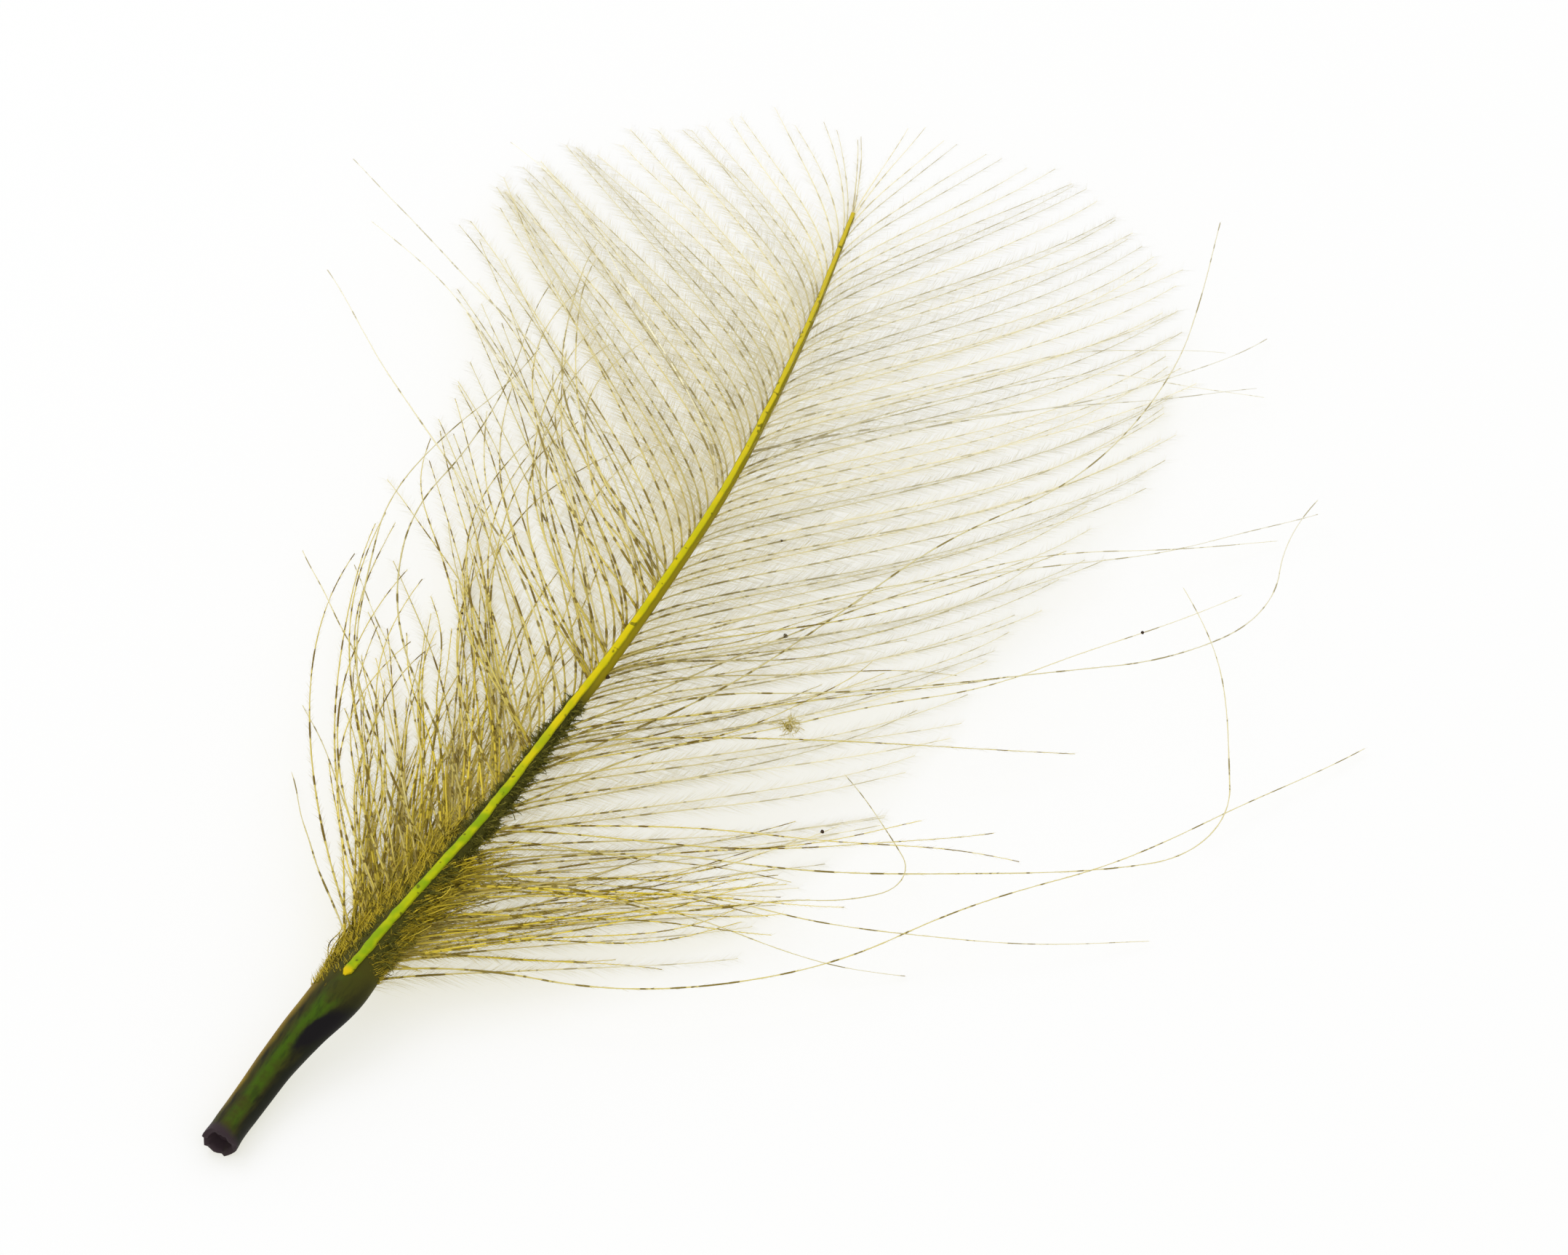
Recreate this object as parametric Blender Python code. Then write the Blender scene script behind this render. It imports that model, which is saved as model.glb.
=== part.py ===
"""A cul de canard feather, lying on a level surface with its hollow side down.

The cut end of the quill is at -Y and the feather's tip at +Y. All sizes are in millimetres
until a mesh is written. The origin is under the quill, in the middle of the short flat on
its underside that lies on the surface.
"""
import math

import bmesh
import bpy
import numpy as np

MM = 0.001

# The shaft from its cut end to its tip: x, y, height of its underside, width and height.
SHAFT_STATIONS = np.array((
    (0.00, -0.60, 0.00, 1.00, 0.94),
    (0.00, 0.60, 0.00, 1.02, 0.96),
    (0.14, 2.40, 0.27, 1.12, 1.00),
    (0.39, 3.80, 0.58, 1.32, 1.08),
    (0.72, 5.10, 0.90, 1.56, 1.10),
    (0.87, 6.00, 1.10, 1.44, 1.02),
    (1.06, 7.40, 1.42, 1.08, 0.90),
    (1.41, 9.40, 1.87, 0.80, 0.76),
    (1.83, 12.00, 2.36, 0.60, 0.62),
    (2.21, 15.90, 3.00, 0.44, 0.52),
    (2.46, 19.40, 3.40, 0.38, 0.44),
    (2.38, 25.40, 3.66, 0.30, 0.34),
    (1.53, 31.60, 3.50, 0.22, 0.26),
    (0.28, 37.30, 3.06, 0.13, 0.16),
))
SHAFT_SIDES = 12
SHAFT_RINGS = 34
CURVE_STEPS = 400

HEADING_REACH = 0.3
FIRST_RING = 0.4
RING_CROWDING = 1.25

# The shallow hollow in the cut end of the quill and the lip around it, as shares of the
# quill's section, and the cut's uneven edge: how far its jags reach, how many there are and
# where they start.
HOLLOW_RIM = 0.66
HOLLOW_FLOOR = 0.42
HOLLOW_DEPTH = 0.30
CUT_LIP = 1.07
RAGGED_CUT = 0.07
CUT_JAGS = 5
CUT_TURN = 1.0

# The pale ridge that runs along the top of the shaft.
RIDGE_START = 5.9
RIDGE_END_GAP = 0.2
RIDGE_WIDTH = 0.35
RIDGE_TIP_WIDTH = 0.12
RIDGE_ROUNDED_START = 0.6
RIDGE_RISE = 0.07
RIDGE_SIDES = 6
RIDGE_RINGS = 20

# The vanes. Each row is the share of the vane from its foot to the tip, then the lock's
# length, its angle off the shaft in degrees, how far it curls towards the tip in degrees
# and the height of its tip.
VANE_START = 6.0
LOCKS_A_SIDE = 33
LEFT_VANE = np.array((
    (0.00, 12.0, 36.0, 4.0, 0.05),
    (0.12, 14.5, 41.0, 2.0, 0.05),
    (0.30, 16.5, 46.0, -2.0, 0.05),
    (0.52, 18.5, 49.0, 2.0, 0.12),
    (0.75, 14.0, 50.0, 4.0, 0.70),
    (0.90, 8.8, 42.0, 5.0, 1.50),
    (1.00, 3.2, 12.0, 0.0, 2.60),
))
RIGHT_VANE = np.array((
    (0.00, 11.0, 44.0, 4.0, 0.05),
    (0.12, 12.8, 41.0, 14.0, 0.05),
    (0.30, 15.2, 40.0, 30.0, 0.05),
    (0.52, 17.5, 42.0, 36.0, 0.12),
    (0.75, 14.0, 45.0, 25.0, 0.70),
    (0.90, 9.0, 37.0, 12.0, 1.50),
    (1.00, 3.8, 12.0, 4.0, 2.60),
))
LEFT, RIGHT = -1, 1

# The soft tuft at the foot of the vanes: side, share of the vane, length, angle, curl and
# height of the tip. A share below zero is on the quill.
TUFT_LOCKS = (
    (LEFT, -0.025, 8.0, 40.0, 4.0, 0.3),
    (LEFT, 0.010, 11.0, 30.0, 8.0, 1.2),
    (LEFT, 0.045, 12.0, 46.0, 6.0, 0.4),
    (LEFT, 0.090, 12.0, 30.0, 4.0, 1.5),
    (LEFT, 0.140, 12.0, 35.0, 6.0, 1.2),
    (RIGHT, -0.025, 7.0, 60.0, 6.0, 0.2),
    (RIGHT, 0.005, 10.0, 62.0, -8.0, 0.2),
    (RIGHT, 0.035, 8.0, 44.0, 8.0, 1.2),
    (RIGHT, 0.070, 11.0, 60.0, 10.0, 0.3),
    (RIGHT, 0.105, 9.0, 54.0, -8.0, 0.8),
)

# A barb leaves the shaft at a lower angle and turns outwards: by how much, and how far out.
# It never turns by more than a share of the angle that it turns to.
HOOKS = {LEFT: (34.0, 1.8), RIGHT: (22.0, 0.9)}
HOOK_MOST = 0.9
DROOP_POWER = 1.6
PATH_STEPS = 60

# The single barbs that stand clear of the vanes: side, share of the vane, length, the
# angles off the shaft from root to tip in degrees, and the height of the tip.
STRAY_BARBS = (
    (RIGHT, 0.025, 31.6, (45, 67, 42, 22, 30, 19, 17), 0.15),
    (RIGHT, 0.135, 33.2, (28, 46, 61, 53, 49, 38, -38, -45, -58), 0.90),
    (RIGHT, 0.300, 27.4, (25, 32, 56, 47, 42, 45, 24, -28, -4), 0.90),
    (RIGHT, 0.260, 31.6, (23, 27, 13, 13, 24, 2, -22, -20), 2.10),
    (RIGHT, 0.060, 20.8, (20, 20, 24, 64, 76, 50, 37, 51, 32, -56, -61, -71), 0.60),
    (RIGHT, 0.105, 21.3, (32, 44, 56, 67, 53, 48, 42), 0.15),
    (RIGHT, 0.100, 14.6, (26, 36, 56, 66, 70, 64, 48), 0.10),
    (RIGHT, 0.220, 24.0, (26, 24, 40, 32, 42, 22, 24, 23), 0.70),
    (RIGHT, 0.410, 22.2, (32, 34, 40, 43, 34, 25), 0.40),
    (RIGHT, 0.320, 23.4, (27, 24, 23, 30, 44, 42), 0.15),
    (RIGHT, 0.630, 18.4, (34, 38, 45, 41, 29, 16), 0.15),
    (RIGHT, 0.645, 17.1, (28, 33, 41, 39, 63, 63), 0.15),
    (RIGHT, 0.680, 15.7, (50, 50, 51, 49, 47, 45), 0.70),
    (RIGHT, 0.710, 14.9, (44, 46, 40, 39, 52, 57), 0.40),
    (LEFT, 0.025, 9.2, (46, 53, 50, 45, 44), 0.10),
    (LEFT, 0.080, 10.5, (62, 48, 52, 53), 0.10),
    (LEFT, 0.120, 15.4, (44, 46, 52, 58, 53), 0.30),
    (LEFT, 0.170, 13.5, (64, 43, 48, 56, 48), 0.30),
    (LEFT, 0.100, 24.6, (34, 51, 54, 42, 30, 30, 8, -5, 9), 0.60),
    (LEFT, 0.178, 24.8, (30, 54, 56, 43, 30, 3, 18, 24, 12), 0.80),
    (LEFT, 0.412, 21.0, (46, 37, 47, 54, 58, 68), 0.90),
    (LEFT, 0.340, 21.2, (43, 47, 56, 59, 51, 57), 0.50),
    (LEFT, 0.480, 22.0, (42, 37, 49, 56, 63, 56, 62), 1.00),
    (LEFT, 0.612, 18.3, (22, 42, 46, 43, 46, 63), 0.70),
)

# The section of a lock: a flat diamond, as shares of its length, width and thickness.
LOCK_PROFILE = np.array((
    (0.00, 0.26, 0.20),
    (0.15, 0.46, 0.22),
    (0.55, 0.46, 0.18),
    (1.00, 0.14, 0.10),
))
LOCK_RINGS = 6
LOCK_RING_CROWDING = 1.2
LOCK_TIP_SCALE = 0.55
STRAY_SCALE = 0.5
STRAY_RINGS = 14

# Two locks of every three end a little higher than the vane's table says.
RAISED_LOCKS = 3
HEIGHT_SPREAD = 0.22
SEED = 7

FEATHER_COLOUR = (0.42, 0.36, 0.10, 1.0)
FEATHER_ROUGHNESS = 0.6
SMOOTH_ANGLE = math.radians(40.0)


def clear_scene():
    """Remove whatever the scene holds."""
    for thing in list(bpy.context.scene.objects):
        bpy.data.objects.remove(thing, do_unlink=True)


def spline(points, share):
    """A row on the smooth curve through points, share running from 0 to 1."""
    ends = np.vstack((2 * points[0] - points[1], points, 2 * points[-1] - points[-2]))
    spans = len(points) - 1
    place = share * spans
    index = min(int(place), spans - 1)
    t = place - index
    before, start, finish, after = ends[index:index + 4]
    bend = 2 * before - 5 * start + 4 * finish - after
    twist = 3 * start - before - 3 * finish + after
    return start + 0.5 * ((finish - before) * t + bend * t**2 + twist * t**3)


class Shaft:
    """The feather's shaft, asked for its place and section by distance from the cut end."""

    def __init__(self, stations):
        rows = np.array([spline(stations, k / CURVE_STEPS) for k in range(CURVE_STEPS + 1)])
        rows[:, 2] = np.maximum(rows[:, 2], 0.0)
        middles = np.column_stack((rows[:, 0], rows[:, 1], rows[:, 2] + rows[:, 4] / 2))
        steps = np.linalg.norm(np.diff(middles, axis=0), axis=1)
        self.rows = rows
        self.distances = np.concatenate(((0.0,), np.cumsum(steps)))
        self.length = self.distances[-1]

    def row(self, distance):
        """x, y, underside, width and height at a distance."""
        return np.array([np.interp(distance, self.distances, column) for column in self.rows.T])

    def middle(self, distance):
        """The middle of the section."""
        x, y, underside, _, height = self.row(distance)
        return np.array((x, y, underside + height / 2))

    def heading(self, distance):
        """The direction in plan in which the shaft runs on, in radians."""
        ahead = self.row(min(distance + HEADING_REACH, self.length))
        behind = self.row(max(distance - HEADING_REACH, 0.0))
        return math.atan2(ahead[1] - behind[1], ahead[0] - behind[0])


def add_loft(bm, rings):
    """Join rings of points into one closed tube with flat ends."""
    loops = [[bm.verts.new(point * MM) for point in ring] for ring in rings]
    for here, there in zip(loops, loops[1:]):
        for k in range(len(here)):
            after = (k + 1) % len(here)
            bm.faces.new((here[k], here[after], there[after], there[k]))
    bm.faces.new(reversed(loops[0]))
    bm.faces.new(loops[-1])


def new_object(name, rings_list, material=None):
    """An object of closed tubes, each given as its rings."""
    bm = bmesh.new()
    for rings in rings_list:
        add_loft(bm, rings)
    bmesh.ops.recalc_face_normals(bm, faces=bm.faces)
    mesh = bpy.data.meshes.new(name)
    bm.to_mesh(mesh)
    bm.free()
    if material:
        mesh.materials.append(material)
    return bpy.data.objects.new(name, mesh)


def shaft_ring(shaft, distance, grow=1.0, ragged=0.0, inward=0.0):
    """A section of the shaft, with a flat at the bottom, as points."""
    x, y, underside, width, height = shaft.row(distance)
    heading = shaft.heading(distance)
    forward = np.array((math.cos(heading), math.sin(heading), 0.0))
    across = np.array((math.sin(heading), -math.cos(heading), 0.0))
    half_turn = math.pi / SHAFT_SIDES
    half_width = grow * width / 2
    half_height = grow * height / 2 / math.cos(half_turn)
    centre = np.array((x, y, underside + height / 2))
    points = []
    for k in range(SHAFT_SIDES):
        turn = half_turn + 2 * k * half_turn
        jag = ragged * math.sin(CUT_JAGS * turn + CUT_TURN) * math.sin(turn / 2)
        point = centre + forward * (inward + jag)
        point = point + across * half_width * math.sin(turn)
        point[2] = max(point[2] - half_height * math.cos(turn), 0.0)
        points.append(point)
    return points


def shaft_rings(shaft):
    """The hollow cut end with its lip, then the sections up to the tip."""
    rings = [
        shaft_ring(shaft, 0.0, HOLLOW_FLOOR, 0.0, HOLLOW_DEPTH),
        shaft_ring(shaft, 0.0, HOLLOW_RIM, RAGGED_CUT),
        shaft_ring(shaft, 0.0, CUT_LIP, RAGGED_CUT),
    ]
    for k in range(SHAFT_RINGS):
        share = (k / (SHAFT_RINGS - 1))**RING_CROWDING
        rings.append(shaft_ring(shaft, FIRST_RING + (shaft.length - FIRST_RING) * share))
    return rings


def ridge_rings(shaft):
    """The ridge on top of the shaft, a thin rod sunk to its middle."""
    rings = []
    reach = shaft.length - RIDGE_END_GAP - RIDGE_START
    for k in range(RIDGE_RINGS):
        share = k / (RIDGE_RINGS - 1)
        distance = RIDGE_START + reach * share
        x, y, underside, _, height = shaft.row(distance)
        heading = shaft.heading(distance)
        across = np.array((math.sin(heading), -math.cos(heading), 0.0))
        width = RIDGE_WIDTH + (RIDGE_TIP_WIDTH - RIDGE_WIDTH) * share
        if k == 0:
            width *= RIDGE_ROUNDED_START
        rise = RIDGE_RISE * width / RIDGE_WIDTH
        top = np.array((x, y, underside + height))
        ring = []
        for j in range(RIDGE_SIDES):
            turn = 2 * math.pi * j / RIDGE_SIDES
            point = top + across * (width / 2) * math.sin(turn)
            point[2] -= rise * math.cos(turn)
            ring.append(point)
        rings.append(ring)
    return rings


def barb_path(shaft, side, distance, length, angle_at, tip_height):
    """Points from the middle of the shaft out along a barb, and the headings there."""
    root = shaft.middle(distance)
    along = shaft.heading(distance)
    step = length / PATH_STEPS
    place = root[:2].copy()
    points = [root]
    headings = []
    for k in range(PATH_STEPS):
        heading = along - side * math.radians(angle_at((k + 0.5) / PATH_STEPS))
        headings.append(heading)
        place = place + step * np.array((math.cos(heading), math.sin(heading)))
        fall = ((k + 1) / PATH_STEPS)**DROOP_POWER
        points.append(np.array((*place, root[2] + (tip_height - root[2]) * fall)))
    headings.append(headings[-1])
    return points, headings


def lock_rings(points, headings, scale, ring_count):
    """Flat diamonds along a path, so that the lock is thin up and down and wide across."""
    rings = []
    for k in range(ring_count):
        share = k / (ring_count - 1)
        index = round(share**LOCK_RING_CROWDING * PATH_STEPS)
        width = np.interp(share, LOCK_PROFILE[:, 0], LOCK_PROFILE[:, 1]) * scale
        thick = np.interp(share, LOCK_PROFILE[:, 0], LOCK_PROFILE[:, 2]) * scale
        heading = headings[index]
        across = np.array((math.sin(heading), -math.cos(heading), 0.0)) * width / 2
        up = np.array((0.0, 0.0, thick / 2))
        middle = points[index]
        rings.append([middle + across, middle + up, middle - across, middle - up])
    return rings


def lock(shaft, side, share, length, angle, curl, tip_height):
    """One lock, rooted at a share of the vane, smaller the nearer it is to the tip."""
    hook, reach = HOOKS[side]
    hook = min(hook, HOOK_MOST * angle)

    def angle_at(part):
        return angle - hook * math.exp(-part * length / reach) - curl * part**2

    distance = VANE_START + share * (shaft.length - VANE_START)
    path = barb_path(shaft, side, distance, length, angle_at, tip_height)
    scale = 1.0 + (LOCK_TIP_SCALE - 1.0) * share
    return lock_rings(*path, scale, LOCK_RINGS)


def stray_barb(shaft, side, share, length, angles, tip_height):
    """One barb that stands clear of the vanes."""
    marks = np.linspace(0.0, 1.0, len(angles))

    def angle_at(part):
        return np.interp(part, marks, angles)

    distance = VANE_START + share * (shaft.length - VANE_START)
    path = barb_path(shaft, side, distance, length, angle_at, tip_height)
    return lock_rings(*path, STRAY_SCALE, STRAY_RINGS)


def all_locks(shaft):
    """The rings of every lock and stray barb."""
    chance = np.random.default_rng(SEED)
    locks = []
    for side, table in ((LEFT, LEFT_VANE), (RIGHT, RIGHT_VANE)):
        for k in range(LOCKS_A_SIDE):
            share = (k + 0.5) / LOCKS_A_SIDE
            length, angle, curl, tip = (np.interp(share, table[:, 0], column)
                                        for column in table.T[1:])
            if k % RAISED_LOCKS:
                tip += HEIGHT_SPREAD * chance.random()
            locks.append(lock(shaft, side, share, length, angle, curl, tip))
    for row in TUFT_LOCKS:
        locks.append(lock(shaft, *row))
    for row in STRAY_BARBS:
        locks.append(stray_barb(shaft, *row))
    return locks


def feather_material():
    """Golden olive, neither glossy nor flat."""
    material = bpy.data.materials.new("feather")
    material.use_nodes = True
    shader = material.node_tree.nodes["Principled BSDF"]
    shader.inputs["Base Color"].default_value = FEATHER_COLOUR
    shader.inputs["Roughness"].default_value = FEATHER_ROUGHNESS
    shader.inputs["Metallic"].default_value = 0.0
    return material


def build_feather():
    """The shaft with its ridge, locks and stray barbs grown onto it as one solid."""
    shaft = Shaft(SHAFT_STATIONS)
    feather = new_object("feather", [shaft_rings(shaft)], feather_material())
    bpy.context.scene.collection.objects.link(feather)
    grown = bpy.data.collections.new("grown_on")
    bpy.context.scene.collection.children.link(grown)
    for number, rings in enumerate([ridge_rings(shaft)] + all_locks(shaft)):
        helper = new_object(f"grown_on_{number:02d}", [rings])
        helper.hide_render = True
        helper.display_type = "WIRE"
        grown.objects.link(helper)
    union = feather.modifiers.new("union", "BOOLEAN")
    union.operation = "UNION"
    union.solver = "EXACT"
    union.operand_type = "COLLECTION"
    union.collection = grown
    feather.data.shade_smooth()
    feather.data.set_sharp_from_angle(angle=SMOOTH_ANGLE)


clear_scene()
build_feather()
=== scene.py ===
"""The looks of a cul de canard feather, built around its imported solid.

Sizes are in millimetres and angles in degrees until a mesh is written. The cut end of the
quill is at -Y, the tip at +Y, and the feather lies on the plane z = 0.
"""
import math

import bmesh
import bpy
import numpy as np
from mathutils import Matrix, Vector
from mathutils import noise


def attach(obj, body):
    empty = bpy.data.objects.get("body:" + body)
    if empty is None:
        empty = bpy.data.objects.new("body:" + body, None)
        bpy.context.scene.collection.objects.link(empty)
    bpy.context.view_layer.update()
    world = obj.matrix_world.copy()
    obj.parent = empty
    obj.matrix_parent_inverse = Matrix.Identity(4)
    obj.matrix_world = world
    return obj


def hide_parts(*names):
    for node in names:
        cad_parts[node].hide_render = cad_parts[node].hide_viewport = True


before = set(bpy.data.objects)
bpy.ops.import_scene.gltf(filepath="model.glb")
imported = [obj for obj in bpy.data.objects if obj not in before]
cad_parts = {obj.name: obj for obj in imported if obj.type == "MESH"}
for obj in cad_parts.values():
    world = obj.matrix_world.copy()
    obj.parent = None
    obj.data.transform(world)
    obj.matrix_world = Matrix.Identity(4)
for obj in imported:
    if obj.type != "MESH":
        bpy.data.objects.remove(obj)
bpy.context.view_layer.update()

MM = 0.001
LEFT, RIGHT = -1, 1

# The shaft from its cut end to its tip: x, y, height of its underside, width and height.
SHAFT_STATIONS = np.array((
    (0.00, -0.60, 0.00, 1.00, 0.94),
    (0.00, 0.60, 0.00, 1.02, 0.96),
    (0.14, 2.40, 0.27, 1.12, 1.00),
    (0.39, 3.80, 0.58, 1.32, 1.08),
    (0.72, 5.10, 0.90, 1.56, 1.10),
    (0.87, 6.00, 1.10, 1.44, 1.02),
    (1.06, 7.40, 1.42, 1.08, 0.90),
    (1.41, 9.40, 1.87, 0.80, 0.76),
    (1.83, 12.00, 2.36, 0.60, 0.62),
    (2.21, 15.90, 3.00, 0.44, 0.52),
    (2.46, 19.40, 3.40, 0.38, 0.44),
    (2.38, 25.40, 3.66, 0.30, 0.34),
    (1.53, 31.60, 3.50, 0.22, 0.26),
    (0.28, 37.30, 3.06, 0.13, 0.16),
))
CURVE_STEPS = 400
HEADING_REACH = 0.3
SHAFT_SIDES = 28
SHAFT_RING_GAP = 0.16
SHARP_ANGLE = 50.0

# Lumps on the shaft: how high they are as a share of its radius, how many there are to the
# millimetre along it, and how fine they are round it.
SHAFT_LUMPS = (
    (0.025, 0.9, 1.5),
    (0.012, 0.5, 7.0),
)

# The hollow in the quill's cut end: the size of its rim and its floor as shares of the section,
# and its depth. Then how ragged the cut is, and the collar and lip at its edge.
HOLLOW_RIM = 0.66
HOLLOW_FLOOR = 0.42
HOLLOW_DEPTH = 0.30
RAGGED_CUT = 0.10
COLLAR_LENGTH = 0.42
COLLAR_SWELL = 0.08
LIP_HEIGHT = 0.02

# The rings of the cut end, from the middle of the hollow out to the quill's skin: the size as
# a share of the section, how ragged it is and how far up the quill it lies.
CUT_RINGS = (
    (HOLLOW_FLOOR * 0.3, 0.0, HOLLOW_DEPTH * 0.9),
    (HOLLOW_FLOOR, 0.0, HOLLOW_DEPTH),
    (HOLLOW_RIM * 0.94, RAGGED_CUT * 0.6, HOLLOW_DEPTH * 0.3),
    (HOLLOW_RIM, RAGGED_CUT, LIP_HEIGHT),
    (0.5 * (1.0 + HOLLOW_RIM), RAGGED_CUT, -LIP_HEIGHT),
    (0.98, RAGGED_CUT, 0.0),
)

# The jags of the cut: how much each sort counts, how fine it is and where in the noise it lies.
CUT_JAGS = (
    (1.0, 2.2, 0.7),
    (0.6, 6.0, 2.7),
)

# The pale ridge along the top of the shaft. Its foot is rounded off over so many millimetres,
# from the square root of a small share of its width. Its width and its way along the shaft
# vary, each by so much and at so many changes to the millimetre.
RIDGE_START = 6.2
RIDGE_OVERHANG = 0.02
RIDGE_WIDTH = 0.32
RIDGE_TIP_WIDTH = 0.12
RIDGE_TAPER_POWER = 0.9
RIDGE_RISE = 0.07
RIDGE_LIFT = 0.1
RIDGE_SIDES = 12
RIDGE_RING_GAP = 0.16
RIDGE_FOOT_SHARE = 0.06
RIDGE_ROUNDING = 0.22
RIDGE_UNEVEN = 0.22
RIDGE_UNEVEN_PACE = 2.9
RIDGE_STRAY = 0.022
RIDGE_STRAY_PACE = 1.3

# The vanes. Each row is the share of the vane from its foot to the tip, then the barb's
# length, its angle off the shaft, how far it curls towards the tip and its tip's height.
VANE_START = 6.0
BARBS_A_SIDE = 70
LEFT_VANE = np.array((
    (0.00, 12.0, 36.0, 4.0, 0.05),
    (0.12, 14.5, 41.0, 2.0, 0.05),
    (0.30, 16.5, 46.0, -2.0, 0.05),
    (0.52, 18.5, 49.0, 2.0, 0.12),
    (0.75, 14.0, 50.0, 4.0, 0.70),
    (0.90, 8.8, 42.0, 5.0, 1.50),
    (1.00, 3.2, 12.0, 0.0, 2.60),
))
RIGHT_VANE = np.array((
    (0.00, 11.0, 44.0, 4.0, 0.05),
    (0.12, 12.8, 41.0, 14.0, 0.05),
    (0.30, 15.2, 40.0, 30.0, 0.05),
    (0.52, 17.5, 42.0, 36.0, 0.12),
    (0.75, 14.0, 45.0, 25.0, 0.70),
    (0.90, 9.0, 37.0, 12.0, 1.50),
    (1.00, 3.8, 12.0, 4.0, 2.60),
))

# A barb leaves the shaft at a lower angle and turns outwards: by how much, and how far out.
# It never turns by more than a share of the angle that it turns to.
HOOKS = {LEFT: (34.0, 1.8), RIGHT: (22.0, 0.9)}
HOOK_MOST = 0.9
CURL_POWER = 2.0

# Every barb sinks from its root to its tip's height, by a power of the share of its length. It
# is drawn in steps and thins to its tip. Its underside stays a gap above the floor.
DROOP_POWER = 1.6
PATH_STEP = 0.2
FEWEST_STEPS = 6
BARB_RADIUS = 0.042
BARB_TIP_RADIUS = 0.012
BARB_TAPER_POWER = 0.8
BARB_SIDES = 4
FINE_SIDES = 3
FLOOR_GAP = 0.06

# A knot is drawn at every point of a barb, and part of it still shows at the next point: the
# share of each that shows, its limit, how much it swells the barb and how much it darkens it.
KNOT_OWN = 0.9
KNOT_CARRIED = 0.35
KNOT_LIMIT = 1.6
KNOT_SWELL = 0.2
KNOT_DARK = 0.25

# The pieces of the vanes: side, measures, which barbs, how many degrees a barb's bend strays
# from its neighbours', and how far neighbours are drawn together at most.
LOWER_BARBS = range(BARBS_A_SIDE // 2)
UPPER_BARBS = range(BARBS_A_SIDE // 2, BARBS_A_SIDE)
VANE_PARTS = {
    "left_barbs_low": (LEFT, LEFT_VANE, LOWER_BARBS, 12.0, 0.12),
    "left_barbs_high": (LEFT, LEFT_VANE, UPPER_BARBS, 10.0, 0.12),
    "right_barbs_low": (RIGHT, RIGHT_VANE, LOWER_BARBS, 8.0, 0.12),
    "right_barbs_high": (RIGHT, RIGHT_VANE, UPPER_BARBS, 10.0, 0.15),
}

# The barbs stray less and less towards the feather's tip, down to a least share. How far their
# length, angle and swing stray is given for each degree by which their bend strays.
ORDER_GAIN = 1.2
LEAST_UNREST = 0.3
LENGTH_UNREST = 0.004
ANGLE_UNREST = 0.25
SWING_UNREST = 0.8

# A barb's waves, how far its root strays as a share of the gap between two barbs, how far its
# tip is lifted at most, and how much thinner the last barbs of a vane are.
FEWEST_WAVES = 0.6
MORE_WAVES = 1.4
ROOT_SCATTER = 0.25
TIP_SCATTER = 0.6
VANE_THINNING = 0.45

# Neighbouring barbs are drawn together in bunches, by a power of the share of their length.
FEWEST_IN_BUNCH = 2
MOST_IN_BUNCH = 4
BUNCH_STEPS = 80
BUNCH_POWER = 2.2

# The single barbs that stand clear of the vanes: side, share of the vane, length, the
# angles off the shaft from root to tip, and the height of the tip.
STRAY_BARBS = (
    (RIGHT, 0.025, 31.6, (45, 67, 42, 22, 30, 19, 17), 0.15),
    (RIGHT, 0.135, 33.2, (28, 46, 61, 53, 49, 38, -38, -45, -58), 0.90),
    (RIGHT, 0.300, 27.4, (25, 32, 56, 47, 42, 45, 24, -28, -4), 0.90),
    (RIGHT, 0.260, 31.6, (23, 27, 13, 13, 24, 2, -22, -20), 2.10),
    (RIGHT, 0.060, 20.8, (20, 20, 24, 64, 76, 50, 37, 51, 32, -56, -61, -71), 0.60),
    (RIGHT, 0.105, 21.3, (32, 44, 56, 67, 53, 48, 42), 0.15),
    (RIGHT, 0.100, 14.6, (26, 36, 56, 66, 70, 64, 48), 0.10),
    (RIGHT, 0.220, 24.0, (26, 24, 40, 32, 42, 22, 24, 23), 0.70),
    (RIGHT, 0.410, 22.2, (32, 34, 40, 43, 34, 25), 0.40),
    (RIGHT, 0.320, 23.4, (27, 24, 23, 30, 44, 42), 0.15),
    (RIGHT, 0.630, 18.4, (34, 38, 45, 41, 29, 16), 0.15),
    (RIGHT, 0.645, 17.1, (28, 33, 41, 39, 63, 63), 0.15),
    (RIGHT, 0.680, 15.7, (50, 50, 51, 49, 47, 45), 0.70),
    (RIGHT, 0.710, 14.9, (44, 46, 40, 39, 52, 57), 0.40),
    (LEFT, 0.025, 9.2, (46, 53, 50, 45, 44), 0.10),
    (LEFT, 0.080, 10.5, (62, 48, 52, 53), 0.10),
    (LEFT, 0.120, 15.4, (44, 46, 52, 58, 53), 0.30),
    (LEFT, 0.170, 13.5, (64, 43, 48, 56, 48), 0.30),
    (LEFT, 0.100, 24.6, (34, 51, 54, 42, 30, 30, 8, -5, 9), 0.60),
    (LEFT, 0.178, 24.8, (30, 54, 56, 43, 30, 3, 18, 24, 12), 0.80),
    (LEFT, 0.412, 21.0, (46, 37, 47, 54, 58, 68), 0.90),
    (LEFT, 0.340, 21.2, (43, 47, 56, 59, 51, 57), 0.50),
    (LEFT, 0.480, 22.0, (42, 37, 49, 56, 63, 56, 62), 1.00),
    (LEFT, 0.612, 18.3, (22, 42, 46, 43, 46, 63), 0.70),
)

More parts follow.
